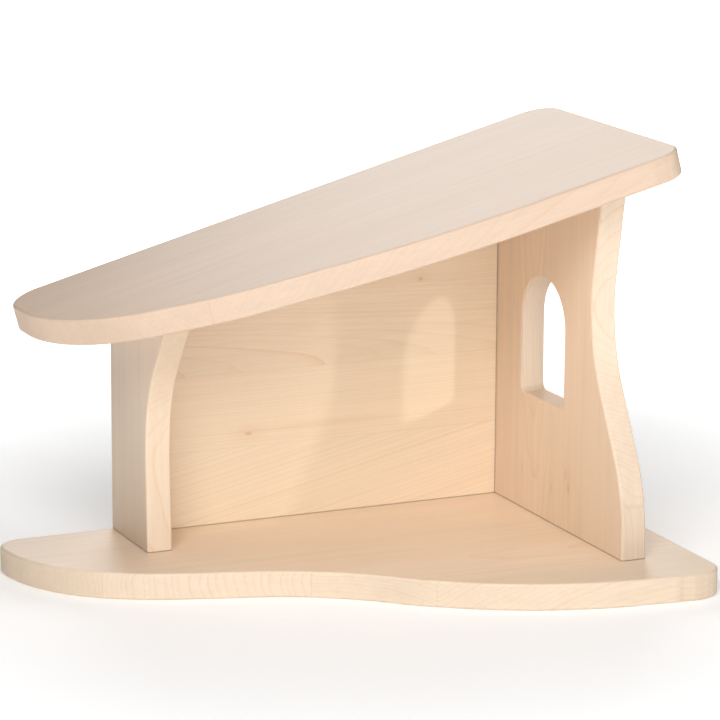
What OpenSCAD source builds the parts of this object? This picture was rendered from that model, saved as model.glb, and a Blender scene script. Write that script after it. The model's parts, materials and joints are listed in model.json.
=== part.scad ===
// Small solid wooden ramp for play, with an open den under it.
// A wavy base board carries a low wall, a tall wall with an arched window and a back board,
// and a sloping ramp board with a round nose lies on top of them.
// Each board is glued up from staves, and hidden dowels join the boards.
// +X runs from the low end to the high end, +Y to the back, +Z up.
// The origin is at the centre of the base board's underside.

/* [Boards] */
// Thickness of every board
board_t = 20; // [16:0.5:26]
// Slope of the ramp board, in degrees
ramp_slope = 15; // [10:0.5:18]

/* [Base board] */
// Length of the base board, which is the length of the whole object
base_len = 471; // [390:1:565]
// Depth of the base board at its front corner, before that corner is rounded
base_depth = 289; // [250:1:350]
// From the low end of the base board to the low wall
low_margin = 95; // [80:1:110]
// From the tall wall to the high end of the base board
high_margin = 42; // [38:1:60]
// Radius of the front corner of the base board
base_corner_r = 24; // [10:1:30]
// Radius of the two back corners of the base board
base_back_r = 21; // [5:1:30]

/* [Tall wall] */
// Height under the ramp at the den's side of the tall wall
tall_clear = 270.5; // [235:0.5:325]
// From the front of the base board's corner back to the foot of the tall wall
tall_setback = 54; // [40:1:70]
// How far the tall wall's front edge already leans in where it begins to sweep back
tall_toe = 1; // [0:0.5:3]
// Height over the base board at which the front edge begins to sweep back
tall_toe_z = 50; // [40:1:60]
// How far the waist is cut in behind the foot, before the waist is rounded
tall_waist_in = 61; // [45:1:65]
// Height of the waist over the base board
tall_waist_z = 160; // [150:1:175]
// Forward lean of the tall wall's front edge over the waist, in degrees
tall_lean = 10.4; // [5:0.1:15]

/* [Window] */
// Width of the window, whose top is a half circle
window_w = 71; // [50:1:90]
// From the base board up to the window's sill
window_sill = 93; // [80:1:110]
// Height of the window's straight sides, sill to spring line
window_side = 60; // [40:1:70]
// How far the window stands forward of the middle between the back board and the waist
window_forward = 2.5; // [0:0.5:8]
// Radius of the window's two lower corners
window_corner_r = 6; // [2:0.5:10]

/* [Low wall] */
// Depth of the low wall at its foot
low_foot = 77; // [70:1:100]
// Depth of the low wall at its waist
low_waist = 74; // [66:1:95]
// Height at which the waist begins, over the base board
low_waist_z = 75; // [60:1:85]
// How much deeper the low wall is where it begins to lean forward
low_lean_out = 4; // [2:1:8]
// Height at which the low wall begins to lean forward, over the base board
low_lean_z = 121; // [100:1:125]
// Forward lean of the low wall's front edge over the waist, in degrees
low_lean = 34.7; // [20:0.1:40]

/* [Back board] */
// How far the back board is set in from the rear edges of the other boards
back_inset = 2; // [0:0.5:10]

/* [Ramp board] */
// Depth of the ramp board at its high end, before its corner is rounded
ramp_depth = 227; // [220:1:240]
// Reach of the nose past the low wall, along the slope
nose_over = 82; // [72:1:92]
// Reach of the high end past the tall wall, along the slope
high_over = 37; // [25:1:40]
// Radius of the front corner at the high end
ramp_corner_r = 20; // [8:1:26]
// Radius of the back corner at the high end
ramp_back_r = 24; // [8:1:30]
// Radius of the nose's back corner
nose_back_r = 28; // [15:1:33]

/* [Staves] */
// Width of the rear stave of the base board, which is trimmed after gluing
base_first = 53; // [35:1:60]
// Width of the front stave of the base board
base_last = 4; // [3.5:0.5:20]
// Width of the rear stave of the ramp board
ramp_first = 53; // [35:1:60]
// Width of the front stave of the ramp board
ramp_last = 56; // [48:1:60]
// Width of the rear stave of both walls
wall_first = 59; // [45:1:60]
// Width of the tall wall's front stave at its foot
tall_last = 2.5; // [2:0.5:8]
// Width of the low wall's front stave at its top
low_last = 10; // [8:1:16]
// Height of the lowest stave of the back board
back_first = 59; // [45:1:60]
// Height of the top stave of the back board at the tall wall
back_last = 37; // [25:1:60]

/* [Dowels] */
// Diameter of the dowels
dowel_d = 8; // [6:0.5:10]
// Length of the dowels
dowel_len = 30; // [26:1:34]
// How deep a dowel goes into the face of a board
dowel_in_face = 12; // [8:0.5:13]
// Gap between a dowel and the wall of its hole, all round
dowel_fit = 0.05; // [0.02:0.01:0.2]
// Room for glue past the end of a dowel, in the edge of a board
glue_room = 1; // [0.5:0.5:2]
// Size of the chamfer at both ends of a dowel
dowel_chamfer = 1; // [0.5:0.5:1.5]

/* [Hidden] */
base_staves = 6;
back_staves = 5;
ramp_staves = 4;
tall_staves = 5;
low_staves = 3;
DOWELS = [
    "dowels_base_to_low_wall",
    "dowels_base_to_tall_wall",
    "dowels_base_to_back",
    "dowels_low_wall_to_back",
    "dowels_tall_wall_to_back",
    "dowels_low_wall_to_ramp",
    "dowels_tall_wall_to_ramp",
    "dowels_back_to_ramp",
];
function stave_names(board, count) = [for (i = [1:count]) str(board, "_stave_", i)];

$fn = 96;
maple = "#efdcc0";
warm_maple = "#ead2ae";
beech = "#dcb98c";
// Longest straight run on a rounded edge
facet = 4;
// What a cutting solid reaches past the solid that it cuts
past = 1;
// A size far larger than the whole object, for cutting solids
big = 2000;

// ---- Rounded outlines: corners are [x, y, radius], in order round the outline ----

function xy(c) = [c[0], c[1]];
function before(c, i) = xy(c[(i + len(c) - 1) % len(c)]);
function after(c, i) = xy(c[(i + 1) % len(c)]);
function unit(v) = v / norm(v);
// Angle that the outline turns through at a corner, left turns positive
function turn(c, i) =
    let(a = xy(c[i]) - before(c, i), b = after(c, i) - xy(c[i]))
    atan2(a.x * b.y - a.y * b.x, a * b);
// Length of each straight side that a corner's rounding wants
function want(c, i) = c[i][2] * tan(abs(turn(c, i)) / 2);
// Share of its wish that a corner gets on the side towards corner j
function share(c, i, j) =
    let(n = len(c), k = (j + n) % n, sum = want(c, i) + want(c, k))
    sum > 0 ? min(1, norm(xy(c[k]) - xy(c[i])) / sum) : 1;
// Length of side that the rounding really takes, so that neighbours never cross
function taken(c, i) = want(c, i) * min(share(c, i, i - 1), share(c, i, i + 1));
function rounding(c, i) = abs(turn(c, i)) > 0 ? taken(c, i) / tan(abs(turn(c, i)) / 2) : 0;
function round_centre(c, i) =
    let(u = unit(xy(c[i]) - before(c, i)), left = [-u.y, u.x])
    xy(c[i]) - taken(c, i) * u + sign(turn(c, i)) * rounding(c, i) * left;
function spun(v, a) = [v.x * cos(a) - v.y * sin(a), v.x * sin(a) + v.y * cos(a)];
function corner_arc(c, i) =
    let(
        u = unit(xy(c[i]) - before(c, i)),
        start = xy(c[i]) - taken(c, i) * u,
        centre = round_centre(c, i),
        length = rounding(c, i) * abs(turn(c, i)) * PI / 180,
        steps = max(2, ceil(length / facet))
    )
    [for (k = [0:steps]) centre + spun(start - centre, turn(c, i) * k / steps)];
function rounded(c) =
    [for (i = [0:len(c) - 1]) each (c[i][2] > 0 ? corner_arc(c, i) : [xy(c[i])])];

// ---- Sizes that follow from the driving ones ----

den_w = base_len - low_margin - high_margin - 2 * board_t;
slope_rise = tan(ramp_slope);
low_clear = tall_clear - den_w * slope_rise;
tall_top = tall_clear + board_t * slope_rise;
tall_foot = base_depth - tall_setback;
tall_waist = tall_foot - tall_waist_in;
tall_top_depth = tall_waist + (tall_top - tall_waist_z) * tan(tall_lean);
low_top_depth = low_waist + low_lean_out + (low_clear - low_lean_z) * tan(low_lean);
walls_len = (den_w + 2 * board_t) / cos(ramp_slope);
ramp_len = nose_over + walls_len + high_over;

// Corners of the base board: x from the low end, y from the rear edge, and the radius.
// The front edge is a round nose, a bay in front of the den and a broad apron by the tall wall.
base_corners = [
    [0, 0, base_back_r],
    [0, -0.280 * base_depth, 112],
    [0.158 * base_len, -0.446 * base_depth, 191],
    [0.427 * base_len, -0.585 * base_depth, 216],
    [0.529 * base_len, -0.754 * base_depth, 121],
    [0.703 * base_len, -0.952 * base_depth, 272],
    [base_len, -base_depth, base_corner_r],
    [base_len, 0, base_back_r],
];
// Greatest depth of the base board, at its rounded front corner
base_reach = rounding(base_corners, 6) - round_centre(base_corners, 6).y;

// Corners of the ramp board: x along the slope from the nose, y from the rear edge
ramp_corners = [
    [0, 0, nose_back_r],
    [0, -0.510 * ramp_depth, 124],
    [0.239 * ramp_len, -0.784 * ramp_depth, 208],
    [0.563 * ramp_len, -0.969 * ramp_depth, 714],
    [ramp_len, -ramp_depth, ramp_corner_r],
    [ramp_len, 0, ramp_back_r],
];

// Corners of the two walls: x is minus the depth from the rear edge, y the height
tall_wall_corners = [
    [0, 0, 0],
    [-tall_foot, 0, 0],
    [tall_toe - tall_foot, tall_toe_z, 121],
    [-tall_waist, tall_waist_z, 126],
    [-tall_top_depth, tall_top, 0],
    [0, tall_top, 0],
];
low_wall_corners = [
    [0, 0, 0],
    [-low_foot, 0, 0],
    [-low_waist, low_waist_z, 176],
    [-low_waist - low_lean_out, low_lean_z, 109],
    [-low_top_depth, low_clear, 0],
    [0, low_clear, 0],
];

// Lines between staves, counted from the rear edge or, on the back board, from the bottom.
// They run evenly from the first to the last, and lie on tenths of a millimetre.
function lines(first, last, count) =
    [for (i = [0:count - 1]) round(10 * (first + (last - first) * i / (count - 1))) / 10];
base_lines = lines(base_first, base_depth - base_last, base_staves - 1);
ramp_lines = lines(ramp_first, ramp_depth - ramp_last, ramp_staves - 1);
low_lines = lines(wall_first, low_top_depth - low_last, low_staves - 1);
back_lines = lines(back_first, tall_clear - back_last, back_staves - 1);
// The tall wall's front stave starts at the waist, so that the waist doesn't cut it in two
tall_lines = concat(lines(wall_first, tall_waist, tall_staves - 2), [tall_foot - tall_last]);

// Places in the row frame
low_end = -base_len / 2;
rear = base_reach / 2;
low_wall_x = low_end + low_margin;
den_x = low_wall_x + board_t;
tall_wall_x = den_x + den_w;
back_mid = rear - back_inset - board_t / 2;
window_mid = (back_inset + board_t + tall_waist) / 2 + window_forward;

// ---- Helpers ----

// Slab number i of a board that is cut at the lines, along +Y from the rear edge forward
module stave_slab(i, cuts) {
    from = i == 1 ? -past : cuts[i - 2];
    to = i > len(cuts) ? big : cuts[i - 1];
    translate([0, rear, 0])
        translate([-big / 2, -to, -big / 2])
            cube([big, to - from, big]);
}

// The same from the base board upward
module lying_slab(i, cuts) {
    from = i == 1 ? -past : cuts[i - 2];
    to = i > len(cuts) ? big : cuts[i - 1];
    translate([0, 0, board_t])
        translate([-big / 2, -big / 2, from])
            cube([big, big, to - from]);
}

// Moves its children to the ramp's underside at the den's side of the tall wall, so that
// +X runs up the slope and +Z stands square on the ramp
module on_slope() {
    translate([tall_wall_x, 0, board_t + tall_clear])
        rotate([0, -ramp_slope, 0])
            children();
}

// Stands an outline of depths and heights up as a board that starts at x
module upright(x, corners) {
    translate([x, rear, board_t])
        rotate([90, 0, 90])
            linear_extrude(board_t)
                polygon(rounded(corners));
}

// Everything over the ramp's underside
module over_ramp() {
    on_slope()
        translate([-big / 2, -big / 2, 0])
            cube(big);
}

// ---- Boards before they are parted into staves ----

module base_board() {
    translate([low_end, rear, 0])
        linear_extrude(board_t)
            polygon(rounded(base_corners));
}

module ramp_board() {
    on_slope()
        translate([board_t / cos(ramp_slope) + high_over - ramp_len, rear, 0])
            linear_extrude(board_t)
                polygon(rounded(ramp_corners));
}

module low_wall_board() {
    difference() {
        upright(low_wall_x, low_wall_corners);
        over_ramp();
    }
}

module window() {
    r = window_corner_r;
    half = window_w / 2;
    translate([tall_wall_x - past, rear - window_mid, board_t + window_sill])
        rotate([90, 0, 90])
            linear_extrude(board_t + 2 * past)
                union() {
                    translate([0, window_side])
                        circle(half);
                    translate([-half, r])
                        square([window_w, window_side - r]);
                    translate([r - half, 0])
                        square([window_w - 2 * r, window_side]);
                    for (side = [-1, 1])
                        translate([side * (half - r), r])
                            circle(r);
                }
}

module tall_wall_board() {
    difference() {
        upright(tall_wall_x, tall_wall_corners);
        over_ramp();
        window();
    }
}

module back_board() {
    translate([den_x, back_mid + board_t / 2, board_t])
        rotate([90, 0, 0])
            linear_extrude(board_t)
                polygon([[0, 0], [den_w, 0], [den_w, tall_clear], [0, low_clear]]);
}

// ---- Dowels: each set says where its dowels stand, and the same places are drilled ----

// Middle of each stave between two lines, from the rear edge to the front
function stave_middles(cuts, whole) =
    let(ends = concat([0], [for (c = cuts) if (c < whole) c], [whole]))
    [for (i = [0:len(ends) - 2]) if (ends[i + 1] - ends[i] > 1.5 * dowel_d) (ends[i] + ends[i + 1]) / 2];
// Middles of equal parts of a length
function even_middles(whole, count) = [for (i = [0:count - 1]) whole * (i + 0.5) / count];
low_wall_mid = low_wall_x + board_t / 2;
tall_wall_mid = tall_wall_x + board_t / 2;
// Distance of each wall's middle from the slope's start, along the slope
function slope_at(x) = (x - tall_wall_x) / cos(ramp_slope);

module dowels_at_base_low_wall()
    for (d = stave_middles(low_lines, low_foot))
        translate([low_wall_mid, rear - d, board_t])
            children();

module dowels_at_base_tall_wall()
    for (d = stave_middles(tall_lines, tall_foot))
        translate([tall_wall_mid, rear - d, board_t])
            children();

module dowels_at_base_back()
    for (x = even_middles(den_w, 5))
        translate([den_x + x, back_mid, board_t])
            children();

module dowels_at_low_wall_back()
    for (z = stave_middles(back_lines, low_clear - dowel_len))
        translate([den_x, back_mid, board_t + z])
            rotate([0, 90, 0])
                children();

module dowels_at_tall_wall_back()
    for (z = stave_middles(back_lines, tall_clear - dowel_len))
        translate([tall_wall_x, back_mid, board_t + z])
            rotate([0, -90, 0])
                children();

module dowels_at_low_wall_ramp()
    for (d = stave_middles(low_lines, low_lines[1]))
        on_slope()
            translate([slope_at(low_wall_mid), rear - d, 0])
                rotate([180, 0, 0])
                    children();

module dowels_at_tall_wall_ramp()
    for (d = stave_middles(tall_lines, tall_top_depth))
        on_slope()
            translate([slope_at(tall_wall_mid), rear - d, 0])
                rotate([180, 0, 0])
                    children();

module dowels_at_back_ramp()
    for (x = even_middles(den_w, 3))
        on_slope()
            translate([slope_at(den_x + x), back_mid, 0])
                rotate([180, 0, 0])
                    children();

// One dowel through the plane z = 0, with its short end in the face of a board below
module dowel() {
    c = dowel_chamfer;
    r = dowel_d / 2;
    color(beech)
        translate([0, 0, -dowel_in_face])
            rotate_extrude()
                polygon([
                    [0, 0],
                    [r - c, 0],
                    [r, c],
                    [r, dowel_len - c],
                    [r - c, dowel_len],
                    [0, dowel_len],
                ]);
}

// The hole for one dowel in both boards
module dowel_hole() {
    translate([0, 0, -dowel_in_face])
        cylinder(h = dowel_len + glue_room, r = dowel_d / 2 + dowel_fit);
}

// ---- Sub-parts ----

module base_stave(i) {
    color(maple)
        difference() {
            intersection() {
                base_board();
                stave_slab(i, base_lines);
            }
            dowels_at_base_low_wall() dowel_hole();
            dowels_at_base_tall_wall() dowel_hole();
            dowels_at_base_back() dowel_hole();
        }
}

module back_stave(i) {
    color(warm_maple)
        difference() {
            intersection() {
                back_board();
                lying_slab(i, back_lines);
            }
            dowels_at_base_back() dowel_hole();
            dowels_at_low_wall_back() dowel_hole();
            dowels_at_tall_wall_back() dowel_hole();
            dowels_at_back_ramp() dowel_hole();
        }
}

module low_wall_stave(i) {
    color(maple)
        difference() {
            intersection() {
                low_wall_board();
                stave_slab(i, low_lines);
            }
            dowels_at_base_low_wall() dowel_hole();
            dowels_at_low_wall_back() dowel_hole();
            dowels_at_low_wall_ramp() dowel_hole();
        }
}

module tall_wall_stave(i) {
    color(warm_maple)
        difference() {
            intersection() {
                tall_wall_board();
                stave_slab(i, tall_lines);
            }
            dowels_at_base_tall_wall() dowel_hole();
            dowels_at_tall_wall_back() dowel_hole();
            dowels_at_tall_wall_ramp() dowel_hole();
        }
}

module ramp_stave(i) {
    color(maple)
        difference() {
            intersection() {
                ramp_board();
                stave_slab(i, ramp_lines);
            }
            dowels_at_low_wall_ramp() dowel_hole();
            dowels_at_tall_wall_ramp() dowel_hole();
            dowels_at_back_ramp() dowel_hole();
        }
}

module dowels_base_to_low_wall() dowels_at_base_low_wall() dowel();
module dowels_base_to_tall_wall() dowels_at_base_tall_wall() dowel();
module dowels_base_to_back() dowels_at_base_back() dowel();
module dowels_low_wall_to_back() dowels_at_low_wall_back() dowel();
module dowels_tall_wall_to_back() dowels_at_tall_wall_back() dowel();
module dowels_low_wall_to_ramp() dowels_at_low_wall_ramp() dowel();
module dowels_tall_wall_to_ramp() dowels_at_tall_wall_ramp() dowel();
module dowels_back_to_ramp() dowels_at_back_ramp() dowel();

for (i = [1:base_staves])
    base_stave(i);
for (i = [1:back_staves])
    back_stave(i);
for (i = [1:low_staves])
    low_wall_stave(i);
for (i = [1:tall_staves])
    tall_wall_stave(i);
for (i = [1:ramp_staves])
    ramp_stave(i);
dowels_base_to_low_wall();
dowels_base_to_tall_wall();
dowels_base_to_back();
dowels_low_wall_to_back();
dowels_tall_wall_to_back();
dowels_low_wall_to_ramp();
dowels_tall_wall_to_ramp();
dowels_back_to_ramp();
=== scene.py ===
"""A small play ramp of pale maple: a sloping board over a den, standing on a wavy base.

Every board is glued up from staves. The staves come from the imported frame: they are merged into
their board, the board's free edges are rounded and its joint edges eased, and it is sawn into
staves again. Each stave then gets a maple of its own.
"""

import json
import math
from collections import namedtuple

import bmesh
import bpy
from bpy.props import FloatProperty, FloatVectorProperty, IntProperty, PointerProperty
from mathutils import Matrix, Vector
from mathutils.bvhtree import BVHTree


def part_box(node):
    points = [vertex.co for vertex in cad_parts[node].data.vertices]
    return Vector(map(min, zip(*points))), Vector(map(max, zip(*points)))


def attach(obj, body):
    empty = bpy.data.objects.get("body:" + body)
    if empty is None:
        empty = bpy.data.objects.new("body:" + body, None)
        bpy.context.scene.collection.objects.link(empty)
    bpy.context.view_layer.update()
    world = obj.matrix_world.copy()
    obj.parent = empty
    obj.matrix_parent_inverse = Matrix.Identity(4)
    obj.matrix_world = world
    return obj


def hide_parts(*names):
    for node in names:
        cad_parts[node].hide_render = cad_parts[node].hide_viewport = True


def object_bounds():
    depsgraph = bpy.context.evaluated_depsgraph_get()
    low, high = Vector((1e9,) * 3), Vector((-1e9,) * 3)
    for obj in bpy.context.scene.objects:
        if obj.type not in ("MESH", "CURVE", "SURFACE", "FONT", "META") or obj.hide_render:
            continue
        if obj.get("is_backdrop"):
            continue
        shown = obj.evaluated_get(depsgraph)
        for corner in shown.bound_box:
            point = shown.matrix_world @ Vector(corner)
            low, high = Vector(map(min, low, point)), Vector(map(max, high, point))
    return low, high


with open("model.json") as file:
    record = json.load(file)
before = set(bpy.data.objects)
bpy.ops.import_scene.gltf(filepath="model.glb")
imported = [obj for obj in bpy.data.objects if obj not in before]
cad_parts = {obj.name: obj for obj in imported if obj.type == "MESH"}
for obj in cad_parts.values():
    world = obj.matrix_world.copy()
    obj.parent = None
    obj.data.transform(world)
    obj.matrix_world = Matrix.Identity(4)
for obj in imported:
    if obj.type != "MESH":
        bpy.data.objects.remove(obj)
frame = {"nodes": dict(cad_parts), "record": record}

bl_info = {
    "name": "Play Ramp",
    "version": (1, 0, 0),
    "blender": (4, 5, 0),
    "location": "View3D > Sidebar > Play Ramp",
    "description": "Builds the maple boards of a small play ramp around its packed frame",
    "category": "Object",
}

MM = 0.001
# How near two places are when they count as the same one
TOUCH = 0.1 * MM
# How near corners are when they are merged
MERGE = 0.01 * MM
# How far a dowel hole's rim may be from the dowel's own skin
RIM = 0.3 * MM
# Edges that turn more than this are corners, and the rest are steps of a curve
CORNER = math.radians(30)
# Faces that turn less than this from one to the next are one flat face
FLAT = math.radians(0.5)
# A face whose normal reaches this far along another direction faces that way
FACING = 0.999
# How near a corner is to a saw cut when it counts as on it
KERF = 0.001 * MM

# Widths of the thin dark line at the glue between staves, and of the painted shade in the crack at the
# joints of boards, and how dark they are
GLUE_LINE = 0.45 * MM
GLUE_LINE_DARK = 0.06
JOINT_SHADE_WIDTH = 1.2 * MM
JOINT_SHADE_DARK = 0.5
# How far a face turns towards a direction before it begins to count, and counts fully: for the painted
# light and shade on a board's sides, and for the end grain
SIDE_SHADING_TURN = (0.3, 0.8)
END_TURN = (0.45, 0.95)
# The relief of the grain
GRAIN_BUMP = 0.12
GRAIN_RELIEF = 0.15 * MM
LACQUER_IOR = 1.47
# The hues that the wood's blush leans to
PINK_MAPLE = (0.80, 0.615, 0.495, 1.0)
YELLOW_MAPLE = (0.79, 0.610, 0.430, 1.0)
HUE_STRENGTH = 0.35
# How far rings stray from true circles: slowly, and in ripples
RING_WANDER = 9 * MM
RING_RIPPLE = 1.6 * MM
# Where the dowels lie in the tree that they are turned from
DOWEL_WOOD = (0.7, 60 * MM, 40 * MM)

X_AXIS = Vector((1, 0, 0))
Y_AXIS = Vector((0, 1, 0))
Z_AXIS = Vector((0, 0, 1))

# How a stave was sawn. pith: where the middle of its tree lay from the stave's own middle,
# across the board and through it, in mm; lean and slant: how far the tree's axis turns from
# the stave, through the board and across it, in degrees; gap: how wide its rings are;
# tone: lighter above 0 and darker below; blush: pinker above 0, yellower below.
Cut = namedtuple("Cut", "pith_across pith_through lean slant gap tone blush")
# A pin knot or a streak: the stave's number, how far along and across the board it is, in mm
# from the frame's origin, its width in mm, how many times longer it is, and how strong
Knot = namedtuple("Knot", "stave along across size length depth")
# A board: its staves' node names start with prefix, grain runs along its staves and across
# goes from stave to stave; tint is painted light and shade on the whole board, multiplying the
# pale wood's colour, and side is painted light and shade on the faces that look along across,
# multiplying their brightness. Both stand in for the studio's light: 1 is the plain wood.
Board = namedtuple("Board", "prefix slot grain across tint side joints cuts knots")


# ---------------------------------------------------------------- the frame's own sizes

def nodes_named(prefix):
    """Names of the frame's nodes that start with prefix, in the order of their numbers."""
    found = [name for name in frame["nodes"] if name.startswith(prefix)]
    return sorted(found, key=lambda name: int(name.rsplit("_", 1)[1]))


def slope_angle():
    """The slope's angle, from the tops of the two walls that carry it."""
    low_box = [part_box(name) for name in nodes_named("low_wall_stave_")]
    tall_box = [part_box(name) for name in nodes_named("tall_wall_stave_")]
    rise = max(high.z for _, high in tall_box) - max(high.z for _, high in low_box)
    run = max(high.x for _, high in tall_box) - max(high.x for _, high in low_box)
    return math.atan2(rise, run)


SLOPE = slope_angle()
BASE_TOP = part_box("base_stave_1")[1].z
DEN_LOW_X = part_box("low_wall_stave_1")[1].x
DEN_HIGH_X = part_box("tall_wall_stave_1")[0].x
ALONG_SLOPE = Vector((math.cos(SLOPE), 0, math.sin(SLOPE)))
OUT_OF_SLOPE = Vector((-math.sin(SLOPE), 0, math.cos(SLOPE)))
TALL_WALL_TOP = Vector((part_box("tall_wall_stave_1")[1].x, 0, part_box("tall_wall_stave_1")[1].z))

# A joint is a plane, as a point on it and its normal
ON_BASE = (Z_AXIS * BASE_TOP, Z_AXIS)
UNDER_RAMP = (TALL_WALL_TOP, OUT_OF_SLOPE)
AT_LOW_WALL = (X_AXIS * DEN_LOW_X, X_AXIS)
AT_TALL_WALL = (X_AXIS * DEN_HIGH_X, X_AXIS)

BOARDS = {
    "base": Board(
        "base_stave_", "base_maple", X_AXIS, Y_AXIS, (1.03, 1.06, 1.07), 0.92, [],
        [
            Cut(-160, 20, 0.6, 0.5, 0.9, 0.00, 0.1),
            Cut(170, -20, -0.8, 0.0, 0.8, -0.10, 0.2),
            Cut(-180, 15, 0.7, -0.5, 0.8, 0.05, 0.0),
            Cut(15, -75, 1.2, 0.0, 1.2, 0.25, -0.1),
            Cut(80, 60, -0.9, 0.5, 1.0, 0.20, 0.0),
            Cut(-60, 50, 0.5, 0.0, 1.0, -0.35, -0.6),
        ],
        [],
    ),
    "back": Board(
        "back_stave_", "back_maple", X_AXIS, Z_AXIS, (1.00, 1.03, 1.01), 1.0,
        [ON_BASE, UNDER_RAMP, AT_LOW_WALL, AT_TALL_WALL],
        [
            Cut(-170, 25, 0.6, 12.0, 1.5, 0.05, -0.3),
            Cut(140, 30, 0.5, 0.0, 0.7, 0.10, 0.0),
            Cut(-32, 62, 3.2, 0.0, 1.0, 0.05, -0.1),
            Cut(-130, -20, 0.5, 0.0, 0.7, -0.15, -0.4),
            Cut(80, 60, 0.8, 1.0, 1.0, -0.25, -0.4),
        ],
        [
            Knot(2, -38, 89, 2.6, 2.0, 0.55),
            Knot(2, 20, 91, 5.0, 22.0, 0.13),
            Knot(4, 106, 198, 2.2, 1.4, 0.60),
        ],
    ),
    "low_wall": Board(
        "low_wall_stave_", "wall_maple", Z_AXIS, Y_AXIS, (0.90, 0.91, 0.91), 1.05,
        [ON_BASE, UNDER_RAMP],
        [
            Cut(120, 40, 0.6, 0.0, 0.9, -0.05, 0.0),
            Cut(-150, 25, 0.5, 0.5, 0.8, 0.05, 0.0),
            Cut(60, 60, 0.8, 0.0, 1.0, 0.00, 0.0),
        ],
        [],
    ),
    "tall_wall": Board(
        "tall_wall_stave_", "wall_maple", Z_AXIS, Y_AXIS, (1.04, 1.06, 1.07), 0.84,
        [ON_BASE, UNDER_RAMP],
        [
            Cut(100, 50, 1.2, -1.0, 0.9, -0.15, 0.3),
            Cut(5, -65, 2.4, 0.0, 1.1, 0.00, -0.1),
            Cut(-120, 30, 0.7, 0.5, 0.8, 0.05, 0.0),
            Cut(140, -20, 0.6, 0.0, 0.7, 0.05, 0.1),
            Cut(-70, 50, 0.8, 0.0, 1.0, 0.10, 0.1),
        ],
        [
            Knot(3, 63, 1, 1.8, 4.0, 0.35),
            Knot(3, 52, -4, 2.2, 3.0, 0.45),
            Knot(3, 46, 24, 1.5, 3.5, 0.40),
            Knot(2, 44, 74, 1.2, 3.5, 0.30),
        ],
    ),
    "ramp": Board(
        "ramp_stave_", "ramp_maple", ALONG_SLOPE, Y_AXIS, (0.88, 0.84, 0.83), 0.84, [],
        [
            Cut(25, -75, 1.0, 0.0, 1.0, 0.00, 0.2),
            Cut(-130, 20, 0.6, 0.5, 0.8, 0.05, 0.3),
            Cut(90, -40, 0.8, -0.5, 0.9, 0.00, 0.1),
            Cut(120, 32, 0.5, 0.0, 0.65, -0.05, 0.3),
        ],
        [],
    ),
}


# ---------------------------------------------------------------- settings in the sidebar

class PlayRampWood(bpy.types.PropertyGroup):
    """Colours and figure of the maple, and of the beech dowels."""

    pale: FloatVectorProperty(
        name="Pale wood", description="Colour of the wood between the ring lines",
        default=(0.80, 0.63, 0.475), subtype="COLOR", min=0.0, max=1.0)
    ring: FloatVectorProperty(
        name="Ring line", description="Colour of the thin late wood at the end of each ring",
        default=(0.68, 0.43, 0.235), subtype="COLOR", min=0.0, max=1.0)
    knot: FloatVectorProperty(
        name="Pin knot", description="Colour at the middle of a pin knot",
        default=(0.56, 0.31, 0.14), subtype="COLOR", min=0.0, max=1.0)
    dowel: FloatVectorProperty(
        name="Beech", description="Colour of the dowels",
        default=(0.62, 0.40, 0.24), subtype="COLOR", min=0.0, max=1.0)
    ring_gap: FloatProperty(
        name="Ring spacing", description="Distance from one ring line to the next",
        default=2.6 * MM, unit="LENGTH", min=0.5 * MM, max=8 * MM)
    ring_depth: FloatProperty(
        name="Ring strength", description="How strongly the ring lines show",
        default=0.46, subtype="FACTOR", min=0.0, max=1.0)
    fibre_depth: FloatProperty(
        name="Fibre strength", description="How strongly the fine streaks along the grain show",
        default=0.14, subtype="FACTOR", min=0.0, max=1.0)
    end_depth: FloatProperty(
        name="End grain", description="How much darker the ends of the staves are",
        default=0.12, subtype="FACTOR", min=0.0, max=1.0)
    roughness: FloatProperty(
        name="Roughness", description="Roughness of the waxed surface",
        default=0.46, subtype="FACTOR", min=0.0, max=1.0)


class PlayRampEdges(bpy.types.PropertyGroup):
    """How the edges of the boards are finished."""

    round_over: FloatProperty(
        name="Round-over", description="Radius on every free edge",
        default=2.0 * MM, unit="LENGTH", min=0.5 * MM, max=4 * MM)
    ease: FloatProperty(
        name="Eased joint", description="Radius on the edges that meet another board",
        default=0.9 * MM, unit="LENGTH", min=0.1 * MM, max=2 * MM)
    steps: IntProperty(
        name="Steps", description="Faces across a rounded edge",
        default=4, min=1, max=8)


class PlayRampStage(bpy.types.PropertyGroup):
    """Camera, floor and lights."""

    azimuth: FloatProperty(
        name="Camera azimuth", description="How far the camera stands round to the high end",
        default=math.radians(-24.08), subtype="ANGLE")
    elevation: FloatProperty(
        name="Camera elevation", description="How far the camera looks down",
        default=math.radians(12.97), subtype="ANGLE")
    roll: FloatProperty(
        name="Camera roll", description="How far the camera leans over sideways",
        default=math.radians(0.283), subtype="ANGLE")
    distance: FloatProperty(
        name="Camera distance", description="From the camera to the ramp's middle",
        default=2.657, unit="LENGTH", min=0.5)
    lens: FloatProperty(
        name="Lens", description="Focal length in millimetres on a 36 mm sensor",
        default=181.2, min=20.0)
    aim_along: FloatProperty(
        name="Aim along", description="How far towards the high end of the middle the camera aims",
        default=1.9 * MM, unit="LENGTH")
    aim_up: FloatProperty(
        name="Aim up", description="How far above the middle the camera aims",
        default=6.7 * MM, unit="LENGTH")
    floor_size: FloatProperty(
        name="Floor size", description="Radius of the pale floor",
        default=12.0, unit="LENGTH", min=1.0)
    sky: FloatProperty(
        name="Room light", description="Strength of the even light from all round",
        default=0.02, min=0.0)
    beam: FloatProperty(
        name="Window beam", description="Power of the lamp that shines in through the window",
        default=110.0, unit="POWER", min=0.0)


# ---------------------------------------------------------------- node trees

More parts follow.
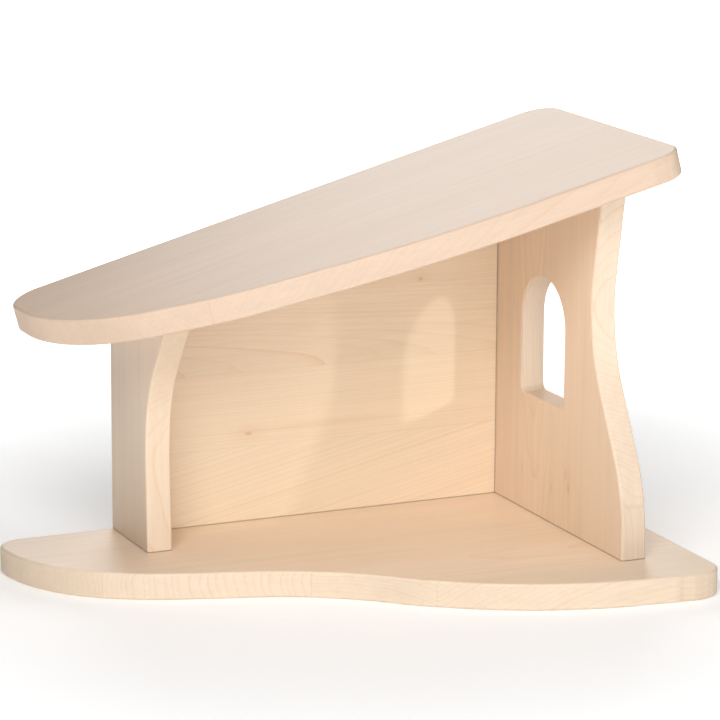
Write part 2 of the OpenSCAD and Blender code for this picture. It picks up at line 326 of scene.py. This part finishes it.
class Graph:
    """Adds nodes to a tree and joins them."""

    def __init__(self, tree):
        self.tree = tree

    def feed(self, socket, value):
        """Sets a socket to a value, or joins another node's output to it."""
        if isinstance(value, bpy.types.NodeSocket):
            self.tree.links.new(value, socket)
        else:
            socket.default_value = value

    def node(self, kind, inputs=None, **settings):
        """A new node with its settings and its inputs, which are named or numbered."""
        new = self.tree.nodes.new(kind)
        for key, value in settings.items():
            setattr(new, key, value)
        for key, value in (inputs or {}).items():
            self.feed(new.inputs[key], value)
        return new

    def math(self, operation, first, second=0.0, third=0.0):
        """The result of one calculation on numbers."""
        values = {0: first, 1: second, 2: third}
        return self.node("ShaderNodeMath", values, operation=operation).outputs[0]

    def vector(self, operation, first, second):
        """The vector that comes of one calculation on two vectors."""
        return self.node("ShaderNodeVectorMath", {0: first, 1: second}, operation=operation).outputs[0]

    def dot(self, first, second):
        """How far one vector reaches along another."""
        node = self.node("ShaderNodeVectorMath", {0: first, 1: second}, operation="DOT_PRODUCT")
        return node.outputs["Value"]

    def brighten(self, colour, factor):
        """The colour times a number."""
        node = self.node("ShaderNodeVectorMath", {"Vector": colour, "Scale": factor}, operation="SCALE")
        return node.outputs[0]

    def mix(self, factor, first, second):
        """A colour between two others."""
        node = self.node("ShaderNodeMix", data_type="RGBA")
        self.feed(node.inputs[0], factor)
        self.feed(node.inputs[6], first)
        self.feed(node.inputs[7], second)
        return node.outputs[2]

    def noise(self, vector, stretch, detail=2.0, roughness=0.5):
        """Smooth noise from -0.5 to 0.5, with as many patches to the metre as stretch says."""
        place = self.vector("MULTIPLY", vector, stretch)
        node = self.node(
            "ShaderNodeTexNoise",
            {"Vector": place, "Scale": 1.0, "Detail": detail, "Roughness": roughness})
        return self.math("SUBTRACT", node.outputs[0], 0.5)

    def step(self, value, low, high):
        """0 below low, 1 above high and a soft step between."""
        node = self.node(
            "ShaderNodeMapRange", {0: value, 1: low, 2: high},
            interpolation_type="SMOOTHSTEP", clamp=True)
        return node.outputs[0]


def new_group(name, inputs, outputs):
    """An empty shader node group with its sockets, and a Graph to fill it with.

    inputs and outputs are pairs of a socket's name and its kind: Float, Vector or Color.
    """
    tree = bpy.data.node_groups.new(name, "ShaderNodeTree")
    for title, kind in inputs:
        tree.interface.new_socket(title, in_out="INPUT", socket_type="NodeSocket" + kind)
    for title, kind in outputs:
        tree.interface.new_socket(title, in_out="OUTPUT", socket_type="NodeSocket" + kind)
    graph = Graph(tree)
    return graph, graph.node("NodeGroupInput").outputs, graph.node("NodeGroupOutput").inputs


def maple_group():
    """Solid wood sawn from a tree whose axis is the X axis: rings, fibres, rays and pores."""
    if "Solid maple" in bpy.data.node_groups:
        return bpy.data.node_groups["Solid maple"]
    graph, given, made = new_group(
        "Solid maple",
        [
            ("Vector", "Vector"), ("End Grain", "Float"), ("Pale", "Color"), ("Ring", "Color"),
            ("Ring Spacing", "Float"), ("Ring Strength", "Float"), ("Fibre Strength", "Float"),
            ("End Strength", "Float"), ("Tone", "Float"), ("Blush", "Float"),
            ("Roughness", "Float"),
        ],
        [("Color", "Color"), ("Roughness", "Float"), ("Height", "Float")],
    )
    place = given["Vector"]
    parts = graph.node("ShaderNodeSeparateXYZ", {0: place}).outputs
    # Rings: the distance from the tree's axis, made uneven as the tree grew
    wander = graph.math("MULTIPLY", graph.noise(place, (2.4, 15, 15)), RING_WANDER)
    ripple = graph.math("MULTIPLY", graph.noise(place, (9, 70, 70)), RING_RIPPLE)
    square = graph.math("ADD", graph.math("POWER", parts[1], 2), graph.math("POWER", parts[2], 2))
    radius = graph.math("SQRT", square)
    radius = graph.math("ADD", graph.math("ADD", radius, wander), ripple)
    rings = graph.math("DIVIDE", radius, given["Ring Spacing"])
    season = graph.node("ShaderNodeCombineXYZ", {0: graph.math("MULTIPLY", rings, 0.31)}).outputs[0]
    rings = graph.math("ADD", rings, graph.math("MULTIPLY", graph.noise(season, (1, 1, 1)), 2.4))
    into_ring = graph.math("FRACT", rings)
    line = graph.math("POWER", into_ring, 9)
    year = graph.node(
        "ShaderNodeTexWhiteNoise", {"W": graph.math("FLOOR", rings)}, noise_dimensions="1D")
    line = graph.math("MULTIPLY", line, graph.math("MULTIPLY_ADD", year.outputs["Value"], 0.85, 0.15))
    # Slow shade inside each ring, so that the rings also show as soft bands
    band = graph.math("MULTIPLY", graph.math("SUBTRACT", into_ring, 0.5), 0.35)
    shade = graph.math("ADD", line, band)
    shade = graph.math("MULTIPLY", shade, given["Ring Strength"])
    # Fibres: fine streaks along the grain, in two sizes
    fine = graph.noise(place, (10, 620, 620), 3.0, 0.6)
    coarse = graph.noise(place, (3.5, 150, 150), 2.0)
    fibres = graph.math("MULTIPLY_ADD", coarse, 0.8, fine)
    streak = graph.math("MULTIPLY", fibres, given["Fibre Strength"])
    # Rays: thin flecks that run out from the middle of the tree
    turn = graph.math("MULTIPLY", graph.math("ARCTAN2", parts[2], parts[1]), 120 * MM)
    spoke = graph.node("ShaderNodeCombineXYZ", {0: parts[0], 1: radius, 2: turn}).outputs[0]
    ray = graph.step(graph.noise(spoke, (420, 90, 1500), 1.0), 0.13, 0.22)
    pore = graph.step(graph.noise(place, (150, 2400, 2400), 1.0), 0.16, 0.24)
    # Slow changes of tone along the stave
    drift = graph.noise(place, (1.3, 11, 11), 2.0)
    factor = graph.math("MULTIPLY_ADD", drift, 0.10, 1.0)
    factor = graph.math("ADD", factor, streak)
    factor = graph.math("MULTIPLY_ADD", ray, 0.018, factor)
    factor = graph.math("MULTIPLY_ADD", pore, -0.03, factor)
    factor = graph.math("MULTIPLY_ADD", given["Tone"], 0.10, factor)
    darker = graph.math("MULTIPLY", given["End Grain"], given["End Strength"])
    factor = graph.math("SUBTRACT", factor, darker)
    # Hue: a blush of pink or of yellow, which also drifts
    hue = graph.math("MULTIPLY_ADD", graph.noise(place, (0.9, 8, 8), 1.0), 0.8, given["Blush"])
    other_hue = graph.math("MULTIPLY", hue, -1.0)
    pink = graph.math("MULTIPLY", graph.math("MAXIMUM", hue, 0.0), HUE_STRENGTH)
    yellow = graph.math("MULTIPLY", graph.math("MAXIMUM", other_hue, 0.0), HUE_STRENGTH)
    colour = graph.mix(pink, given["Pale"], PINK_MAPLE)
    colour = graph.mix(yellow, colour, YELLOW_MAPLE)
    colour = graph.brighten(colour, factor)
    colour = graph.mix(graph.math("MAXIMUM", shade, 0.0), colour, given["Ring"])
    graph.feed(made["Color"], colour)
    rough = graph.math("MULTIPLY_ADD", fine, 0.10, given["Roughness"])
    rough = graph.math("MULTIPLY_ADD", given["End Grain"], 0.12, rough)
    graph.feed(made["Roughness"], rough)
    height = graph.math("MULTIPLY_ADD", pore, -0.8, fine)
    graph.feed(made["Height"], graph.math("MULTIPLY_ADD", line, 0.3, height))
    return graph.tree


def glue_and_joint_shade_group():
    """The thin line beside two parallel planes, where staves or boards are glued: a glue line between
    staves, and painted shade in the crack between boards.
    """
    if "Glue line and joint shade" in bpy.data.node_groups:
        return bpy.data.node_groups["Glue line and joint shade"]
    graph, given, made = new_group(
        "Glue line and joint shade", [("Place", "Float"), ("Low", "Float"), ("High", "Float"), ("Width", "Float")],
        [("Mask", "Float")])
    below = graph.math("ABSOLUTE", graph.math("SUBTRACT", given["Place"], given["Low"]))
    above = graph.math("ABSOLUTE", graph.math("SUBTRACT", given["Place"], given["High"]))
    near = graph.math("DIVIDE", graph.math("MINIMUM", below, above), given["Width"])
    graph.feed(made["Mask"], graph.math("SUBTRACT", 1.0, graph.step(near, 0.3, 1.0)))
    return graph.tree


def knot_group():
    """A pin knot: a small dark eye with a paler swirl, drawn out along the grain."""
    if "Pin knot" in bpy.data.node_groups:
        return bpy.data.node_groups["Pin knot"]
    graph, given, made = new_group(
        "Pin knot",
        [("Place", "Vector"), ("Knot", "Vector"), ("Size", "Float"), ("Length", "Float"),
         ("Depth", "Float")],
        [("Mask", "Float")])
    away = graph.vector("SUBTRACT", given["Place"], given["Knot"])
    # It is drawn out along the grain, and runs right through the board
    squeeze = graph.node(
        "ShaderNodeCombineXYZ", {0: graph.math("DIVIDE", 1.0, given["Length"]), 1: 1.0, 2: 0.0})
    away = graph.vector("MULTIPLY", away, squeeze.outputs[0])
    reach = graph.node("ShaderNodeVectorMath", {0: away}, operation="LENGTH").outputs["Value"]
    ragged = graph.math("MULTIPLY_ADD", graph.noise(given["Place"], (60, 900, 900)), 0.5 * MM, reach)
    near = graph.math("DIVIDE", ragged, given["Size"])
    eye = graph.math("SUBTRACT", 1.0, graph.step(near, 0.2, 1.0))
    halo = graph.math("MULTIPLY", graph.math("SUBTRACT", 1.0, graph.step(near, 0.8, 4.0)), 0.18)
    mark = graph.math("MULTIPLY", graph.math("MAXIMUM", eye, halo), given["Depth"])
    graph.feed(made["Mask"], mark)
    return graph.tree


# ---------------------------------------------------------------- materials

def wood_turn(board, cut):
    """Turns the frame's axes to a tree's: X up the trunk, Y across the board, Z through it."""
    through = board.grain.cross(board.across)
    turn = Matrix((board.grain, board.across, through))
    lean = Matrix.Rotation(math.radians(cut.lean), 3, "Y")
    slant = Matrix.Rotation(-math.radians(cut.slant), 3, "Z")
    return lean @ slant @ turn


def darkened(graph, factor, mask, strength):
    """The factor, made smaller by strength where the mask is 1."""
    return graph.math("MULTIPLY", factor, graph.math("MULTIPLY_ADD", mask, -strength, 1.0))


def line_mask(graph, place, direction, low, high, width):
    """1 on the line at two planes across the direction, and 0 away from it."""
    line = graph.node("ShaderNodeGroup", node_tree=glue_and_joint_shade_group())
    graph.feed(line.inputs["Place"], graph.dot(place, direction))
    graph.feed(line.inputs["Low"], low)
    graph.feed(line.inputs["High"], high)
    graph.feed(line.inputs["Width"], width)
    return line.outputs["Mask"]


def stave_material(board, number, node, wood):
    """The maple of one stave, with its own piece of tree and its own knots, and with its board's
    painted light and shade.
    """
    cut = board.cuts[number - 1]
    material = bpy.data.materials.new(node + "_maple")
    material.use_nodes = True
    material.node_tree.nodes.clear()
    graph = Graph(material.node_tree)
    coords = graph.node("ShaderNodeTexCoord").outputs
    low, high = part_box(node)
    turn = wood_turn(board, cut)
    pith = turn @ ((low + high) / 2) + Vector((0, cut.pith_across, cut.pith_through)) * MM
    # Each stave is sawn from a stretch of trunk of its own
    pith.x -= 1.7 * number + 0.4 * len(board.prefix)
    place = graph.node(
        "ShaderNodeMapping",
        {"Vector": coords["Object"], "Location": -pith, "Rotation": turn.to_euler("XYZ")},
        vector_type="POINT").outputs[0]
    facing = graph.math("ABSOLUTE", graph.dot(coords["Normal"], board.grain))
    figure = graph.node("ShaderNodeGroup", node_tree=maple_group())
    for title, value in {
        "Vector": place,
        "End Grain": graph.step(facing, *END_TURN),
        # The pale wood's colour times the board's tint: painted light and shade for the whole board
        "Pale": (*(painted_light_share * part for painted_light_share, part in zip(board.tint, wood.pale)), 1.0),
        "Ring": (*wood.ring, 1.0),
        "Ring Spacing": wood.ring_gap * cut.gap,
        "Ring Strength": wood.ring_depth,
        "Fibre Strength": wood.fibre_depth,
        "End Strength": wood.end_depth,
        "Tone": cut.tone,
        "Blush": cut.blush,
        "Roughness": wood.roughness,
    }.items():
        graph.feed(figure.inputs[title], value)
    colour = figure.outputs["Color"]
    for knot in board.knots:
        if knot.stave != number:
            continue
        spot = graph.node("ShaderNodeGroup", node_tree=knot_group())
        centre = board.grain * knot.along * MM + board.across * knot.across * MM
        graph.feed(spot.inputs["Place"], place)
        graph.feed(spot.inputs["Knot"], turn @ centre - pith)
        graph.feed(spot.inputs["Size"], knot.size * MM)
        graph.feed(spot.inputs["Length"], knot.length)
        graph.feed(spot.inputs["Depth"], knot.depth)
        colour = graph.mix(spot.outputs["Mask"], colour, (*wood.knot, 1.0))
    ends = (low.dot(board.across), high.dot(board.across))
    glue = line_mask(graph, coords["Object"], board.across, *ends, GLUE_LINE)
    brightness = darkened(graph, 1.0, glue, GLUE_LINE_DARK)
    # Painted light and shade: faces that look along across are made darker where the board's side
    # factor is below 1, and lighter where it is above 1
    sideways = graph.math("ABSOLUTE", graph.dot(coords["Normal"], board.across))
    brightness = darkened(graph, brightness, graph.step(sideways, *SIDE_SHADING_TURN), 1 - board.side)
    # Painted shade: a dark line in the crack where this board meets another board
    for point, normal in board.joints:
        height = point.dot(normal)
        joint_shade = line_mask(graph, coords["Object"], normal, height, height, JOINT_SHADE_WIDTH)
        brightness = darkened(graph, brightness, joint_shade, JOINT_SHADE_DARK)
    bump = graph.node(
        "ShaderNodeBump",
        {"Strength": GRAIN_BUMP, "Distance": GRAIN_RELIEF, "Height": figure.outputs["Height"]})
    shader = graph.node(
        "ShaderNodeBsdfPrincipled",
        {
            "Base Color": graph.brighten(colour, brightness),
            "Roughness": figure.outputs["Roughness"],
            "Normal": bump.outputs[0],
            "IOR": LACQUER_IOR,
        })
    graph.node("ShaderNodeOutputMaterial", {"Surface": shader.outputs[0]})
    return material


def dowel_material(wood):
    """Turned beech, a little redder than the boards, with its grain along the dowel."""
    material = bpy.data.materials.new("dowel_beech")
    material.use_nodes = True
    material.node_tree.nodes.clear()
    graph = Graph(material.node_tree)
    coords = graph.node("ShaderNodeTexCoord").outputs
    place = graph.node(
        "ShaderNodeMapping", {"Vector": coords["Object"], "Location": DOWEL_WOOD},
        vector_type="POINT").outputs[0]
    figure = graph.node("ShaderNodeGroup", node_tree=maple_group())
    for title, value in {
        "Vector": place,
        "Pale": (*wood.dowel, 1.0),
        "Ring": (*wood.ring, 1.0),
        "Ring Spacing": wood.ring_gap,
        "Ring Strength": wood.ring_depth,
        "Fibre Strength": wood.fibre_depth,
        "Roughness": wood.roughness,
    }.items():
        graph.feed(figure.inputs[title], value)
    bump = graph.node(
        "ShaderNodeBump",
        {"Strength": GRAIN_BUMP, "Distance": GRAIN_RELIEF, "Height": figure.outputs["Height"]})
    shader = graph.node(
        "ShaderNodeBsdfPrincipled",
        {
            "Base Color": figure.outputs["Color"],
            "Roughness": figure.outputs["Roughness"],
            "Normal": bump.outputs[0],
        })
    graph.node("ShaderNodeOutputMaterial", {"Surface": shader.outputs[0]})
    return material


# ---------------------------------------------------------------- staves

def glue_planes(board):
    """Where a board's staves meet, along the direction from stave to stave."""
    spans = [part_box(node) for node in nodes_named(board.prefix)]
    lows = [low.dot(board.across) for low, _ in spans]
    highs = [high.dot(board.across) for _, high in spans]
    return [low for low in lows if any(abs(low - high) < TOUCH for high in highs)]


def dowel_skin():
    """One search tree over the skins of all the dowels."""
    shape = bmesh.new()
    for name, node in frame["nodes"].items():
        if name.startswith("dowels_"):
            shape.from_mesh(node.data)
    tree = BVHTree.FromBMesh(shape)
    shape.free()
    return tree


def on_plane(part, plane):
    """True where all corners of the edge or face are on the plane."""
    point, normal = plane
    return all(abs((vert.co - point).dot(normal)) < TOUCH for vert in part.verts)


def on_rim(edge, dowels):
    """True where the edge belongs to a dowel's hole."""
    return all(dowels.find_nearest(vert.co, RIM)[0] is not None for vert in edge.verts)


def edge_radius(edge, board, dowels, edges):
    """The radius an edge gets: none at holes and hollows, and little at joints."""
    if edge.calc_face_angle_signed(0.0) < CORNER or on_rim(edge, dowels):
        return 0.0
    if any(on_plane(edge, joint) for joint in board.joints):
        return edges.ease
    return edges.round_over


def glued_up(board):
    """The whole board as one closed mesh: its staves joined, with nothing left at the glue."""
    shape = bmesh.new()
    for node in nodes_named(board.prefix):
        shape.from_mesh(frame["nodes"][node].data)
    bmesh.ops.remove_doubles(shape, verts=shape.verts, dist=MERGE)
    seams = [(board.across * seam, board.across) for seam in glue_planes(board)]
    level = [face for face in shape.faces if abs(face.normal.dot(board.across)) > FACING]
    inside = [face for face in level if any(on_plane(face, seam) for seam in seams)]
    bmesh.ops.delete(shape, geom=inside, context="FACES")
    if any(len(edge.link_faces) != 2 for edge in shape.edges):
        raise RuntimeError(f"the staves {board.prefix} do not close up into one board")
    bmesh.ops.dissolve_limit(shape, angle_limit=FLAT, verts=shape.verts, edges=shape.edges)
    bmesh.ops.recalc_face_normals(shape, faces=shape.faces)
    return shape


def rounded_board(board, edges):
    """The mesh of the whole board with its edges rounded, as a router leaves them."""
    shape = glued_up(board)
    dowels = dowel_skin()
    weights = shape.edges.layers.float.new("bevel_weight_edge")
    for edge in shape.edges:
        radius = edge_radius(edge, board, dowels, edges)
        edge[weights] = radius / edges.round_over
        edge.smooth = radius > 0 or abs(edge.calc_face_angle_signed(0.0)) < CORNER
    for face in shape.faces:
        face.smooth = True
    plain = bpy.data.meshes.new(board.prefix + "plain")
    shape.to_mesh(plain)
    shape.free()
    blank = bpy.data.objects.new(board.prefix + "blank", plain)
    bpy.context.scene.collection.objects.link(blank)
    bevel = blank.modifiers.new("Rounded edges", "BEVEL")
    bevel.limit_method = "WEIGHT"
    bevel.width = edges.round_over
    bevel.segments = edges.steps
    bevel.profile = 0.5
    bevel.use_clamp_overlap = False
    depsgraph = bpy.context.evaluated_depsgraph_get()
    mesh = bpy.data.meshes.new_from_object(blank.evaluated_get(depsgraph))
    bpy.data.objects.remove(blank)
    bpy.data.meshes.remove(plain)
    return mesh


def sawn_stave(board, node, whole):
    """The stretch of the rounded board that is one stave, closed at its glue faces."""
    shape = bmesh.new()
    shape.from_mesh(whole)
    low, high = (corner.dot(board.across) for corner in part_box(node))
    for seam in glue_planes(board):
        for end, outward in ((low, -board.across), (high, board.across)):
            if abs(seam - end) > TOUCH:
                continue
            cut = bmesh.ops.bisect_plane(
                shape, geom=[*shape.verts, *shape.edges, *shape.faces], dist=KERF,
                plane_co=board.across * seam, plane_no=outward, clear_outer=True)
            rim = [part for part in cut["geom_cut"] if isinstance(part, bmesh.types.BMEdge)]
            bmesh.ops.holes_fill(shape, edges=rim, sides=0)
            for edge in rim:
                edge.smooth = False
    bmesh.ops.recalc_face_normals(shape, faces=shape.faces)
    if any(len(edge.link_faces) != 2 for edge in shape.edges):
        raise RuntimeError(f"{node} is not closed")
    mesh = bpy.data.meshes.new(node + "_wood")
    shape.to_mesh(mesh)
    shape.free()
    return mesh


def build_board(context, name):
    """All the staves of one board, each standing for the frame's plain one."""
    scene = context.scene
    board = BOARDS[name]
    whole = rounded_board(board, scene.play_ramp_edges)
    for number, node in enumerate(nodes_named(board.prefix), 1):
        piece = bpy.data.objects.new(node + "_wood", sawn_stave(board, node, whole))
        scene.collection.objects.link(piece)
        piece.data.materials.append(stave_material(board, number, node, scene.play_ramp_wood))
        normals = piece.modifiers.new("Flat faces", "WEIGHTED_NORMAL")
        normals.keep_sharp = True
        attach(piece, "root")
        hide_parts(node)
    bpy.data.meshes.remove(whole)


# ---------------------------------------------------------------- stage

def aimed(place, target, roll=0.0):
    """The matrix of a camera or light at place that looks at target."""
    look = (target - place).normalized()
    right = look.cross(Z_AXIS).normalized()
    up = right.cross(look)
    turned = Matrix((right, up, -look)).transposed().to_4x4()
    return Matrix.Translation(place) @ turned @ Matrix.Rotation(roll, 4, "Z")


def round_about(target, azimuth, elevation, distance):
    """A place at that distance from target. Azimuth 0 is the front, and it grows to the high end."""
    level = math.cos(elevation)
    way = Vector((math.sin(azimuth) * level, -math.cos(azimuth) * level, math.sin(elevation)))
    return target + way * distance


def add_camera(scene, stage, middle):
    """The camera that sees the whole ramp from the front, a little towards the low end."""
    camera = bpy.data.objects.new("camera", bpy.data.cameras.new("camera"))
    target = middle + Vector((stage.aim_along, 0, stage.aim_up))
    place = round_about(target, stage.azimuth, stage.elevation, stage.distance)
    camera.matrix_world = aimed(place, target, stage.roll)
    camera.data.lens = stage.lens
    camera.data.clip_end = 100
    scene.collection.objects.link(camera)
    scene.camera = camera


# Softboxes: azimuth and elevation in degrees, distance and size in metres, power in watts
Softbox = namedtuple("Softbox", "name azimuth elevation distance size power")
SOFTBOXES = [
    Softbox("main", -36, 35, 2.6, 1.1, 37),
    Softbox("front_fill", -8, 26, 2.6, 1.2, 20),
    Softbox("low_fill", -5, 8, 2.6, 1.0, 9),
    Softbox("left_fill", -80, 62, 2.6, 0.8, 3),
    Softbox("top_right", 45, 60, 2.4, 1.2, 9),
    Softbox("behind", 158, 24, 2.8, 1.2, 21),
]


def add_softbox(scene, box, target):
    """One soft square light, aimed at the ramp."""
    light = bpy.data.lights.new("light_" + box.name, "AREA")
    light.shape = "SQUARE"
    light.size = box.size
    light.energy = box.power
    lamp = bpy.data.objects.new("light_" + box.name, light)
    place = round_about(target, math.radians(box.azimuth), math.radians(box.elevation), box.distance)
    lamp.matrix_world = aimed(place, target)
    scene.collection.objects.link(lamp)


# The lamp that shines in through the window: its place as a softbox's, its cone and its softness
BEAM_AZIMUTH = math.radians(41)
BEAM_ELEVATION = math.radians(14)
BEAM_DISTANCE = 2.4
BEAM_CONE = math.radians(4)
BEAM_BLEND = 0.6
BEAM_SOFTNESS = 0.11


def add_window_beam(scene, stage):
    """A narrow lamp that shines in through the window and lays a patch on the back board."""
    lowest, highest = (Vector(corner) for corner in window_box())
    target = (lowest + highest) / 2
    light = bpy.data.lights.new("light_window", "SPOT")
    light.energy = stage.beam
    light.shadow_soft_size = BEAM_SOFTNESS
    light.spot_size = BEAM_CONE
    light.spot_blend = BEAM_BLEND
    lamp = bpy.data.objects.new("light_window", light)
    place = round_about(target, BEAM_AZIMUTH, BEAM_ELEVATION, BEAM_DISTANCE)
    lamp.matrix_world = aimed(place, target)
    scene.collection.objects.link(lamp)


def window_box():
    """The window's space in the tall wall, as the record states it."""
    spaces = frame["record"]["physics"]["openings"]
    return next(space["box_m"] for space in spaces if space["name"] == "window")


# The floor's own colour, its glow at the ramp, and where that begins and ends its rise to white
FLOOR_PAPER = (0.93, 0.93, 0.93, 1.0)
FLOOR_GLOW_NEAR = (0.16, 0.16, 0.16, 1)
FLOOR_GLOW_FAR = (1, 1, 1, 1)
FLOOR_GLOW_RISE = (0.14, 1.1)
# How far the floor lies below the base board
FLOOR_GAP = 0.2 * MM


def floor_material():
    """Plain pale studio paper that glows, more the farther it is from the ramp."""
    material = bpy.data.materials.new("pale_floor")
    material.use_nodes = True
    graph = Graph(material.node_tree)
    shader = material.node_tree.nodes["Principled BSDF"]
    shader.inputs["Base Color"].default_value = FLOOR_PAPER
    shader.inputs["Roughness"].default_value = 0.9
    shader.inputs["Specular IOR Level"].default_value = 0.2
    shader.inputs["Emission Strength"].default_value = 1.0
    place = graph.node("ShaderNodeTexCoord").outputs["Object"]
    away = graph.node("ShaderNodeVectorMath", {0: place}, operation="LENGTH").outputs["Value"]
    glow = graph.mix(graph.step(away, *FLOOR_GLOW_RISE), FLOOR_GLOW_NEAR, FLOOR_GLOW_FAR)
    graph.feed(shader.inputs["Emission Color"], glow)
    return material


def add_floor(scene, stage):
    """A wide round floor just under the base board."""
    mesh = bpy.data.meshes.new("floor")
    shape = bmesh.new()
    bmesh.ops.create_circle(shape, cap_ends=True, segments=64, radius=stage.floor_size)
    bmesh.ops.translate(shape, verts=shape.verts, vec=Z_AXIS * -FLOOR_GAP)
    shape.to_mesh(mesh)
    shape.free()
    mesh.materials.append(floor_material())
    floor = bpy.data.objects.new("floor", mesh)
    scene.collection.objects.link(floor)
    floor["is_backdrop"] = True


# ---------------------------------------------------------------- operators

class PLAYRAMP_OT_base_board(bpy.types.Operator):
    """Build the wavy base board from its staves"""

    bl_idname = "playramp.base_board"
    bl_label = "Base Board"

    def execute(self, context):
        build_board(context, "base")
        return {"FINISHED"}


class PLAYRAMP_OT_back_board(bpy.types.Operator):
    """Build the back board from its lying staves"""

    bl_idname = "playramp.back_board"
    bl_label = "Back Board"

    def execute(self, context):
        build_board(context, "back")
        return {"FINISHED"}


class PLAYRAMP_OT_low_wall(bpy.types.Operator):
    """Build the wall at the low end"""

    bl_idname = "playramp.low_wall"
    bl_label = "Low Wall"

    def execute(self, context):
        build_board(context, "low_wall")
        return {"FINISHED"}


class PLAYRAMP_OT_tall_wall(bpy.types.Operator):
    """Build the wall with the window at the high end"""

    bl_idname = "playramp.tall_wall"
    bl_label = "Tall Wall"

    def execute(self, context):
        build_board(context, "tall_wall")
        return {"FINISHED"}


class PLAYRAMP_OT_ramp_board(bpy.types.Operator):
    """Build the sloping board from its staves"""

    bl_idname = "playramp.ramp_board"
    bl_label = "Ramp Board"

    def execute(self, context):
        build_board(context, "ramp")
        return {"FINISHED"}


class PLAYRAMP_OT_dowels(bpy.types.Operator):
    """Give the hidden dowels their beech"""

    bl_idname = "playramp.dowels"
    bl_label = "Dowels"

    def execute(self, context):
        beech = dowel_material(context.scene.play_ramp_wood)
        for name, node in frame["nodes"].items():
            if name.startswith("dowels_"):
                node.data.materials.clear()
                node.data.materials.append(beech)
        return {"FINISHED"}


class PLAYRAMP_OT_stage(bpy.types.Operator):
    """Add the floor, the lights and the camera"""

    bl_idname = "playramp.stage"
    bl_label = "Stage"

    def execute(self, context):
        scene = context.scene
        stage = scene.play_ramp_stage
        low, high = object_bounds()
        middle = (Vector(low) + Vector(high)) / 2
        middle.y = 0
        add_floor(scene, stage)
        add_camera(scene, stage, middle)
        for box in SOFTBOXES:
            add_softbox(scene, box, middle)
        add_window_beam(scene, stage)
        world = bpy.data.worlds.new("studio")
        world.use_nodes = True
        world.node_tree.nodes["Background"].inputs["Color"].default_value = (1, 1, 1, 1)
        world.node_tree.nodes["Background"].inputs["Strength"].default_value = stage.sky
        scene.world = world
        scene.view_settings.view_transform = "Standard"
        return {"FINISHED"}


class VIEW3D_PT_play_ramp(bpy.types.Panel):
    """Sizes, colours and pieces of the play ramp"""

    bl_label = "Play Ramp"
    bl_idname = "VIEW3D_PT_play_ramp"
    bl_space_type = "VIEW_3D"
    bl_region_type = "UI"
    bl_category = "Play Ramp"

    def draw(self, context):
        column = self.layout.column()
        for group in (
            context.scene.play_ramp_edges,
            context.scene.play_ramp_wood,
            context.scene.play_ramp_stage,
        ):
            for title in group.bl_rna.properties.keys():
                if title not in ("rna_type", "name"):
                    column.prop(group, title)
            column.separator()
        for operator in OPERATORS:
            column.operator(operator.bl_idname)


SETTINGS = {
    "play_ramp_wood": PlayRampWood,
    "play_ramp_edges": PlayRampEdges,
    "play_ramp_stage": PlayRampStage,
}
OPERATORS = (
    PLAYRAMP_OT_base_board,
    PLAYRAMP_OT_back_board,
    PLAYRAMP_OT_low_wall,
    PLAYRAMP_OT_tall_wall,
    PLAYRAMP_OT_ramp_board,
    PLAYRAMP_OT_dowels,
    PLAYRAMP_OT_stage,
)


def register():
    for kind in (*SETTINGS.values(), *OPERATORS, VIEW3D_PT_play_ramp):
        bpy.utils.register_class(kind)
    for name, kind in SETTINGS.items():
        setattr(bpy.types.Scene, name, PointerProperty(type=kind))


def unregister():
    for name in SETTINGS:
        delattr(bpy.types.Scene, name)
    for kind in reversed((*SETTINGS.values(), *OPERATORS, VIEW3D_PT_play_ramp)):
        bpy.utils.unregister_class(kind)


def main():
    register()
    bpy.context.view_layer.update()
    bpy.ops.playramp.base_board()
    bpy.ops.playramp.back_board()
    bpy.ops.playramp.low_wall()
    bpy.ops.playramp.tall_wall()
    bpy.ops.playramp.ramp_board()
    bpy.ops.playramp.dowels()
    bpy.ops.playramp.stage()


if __name__ == "__main__":
    main()
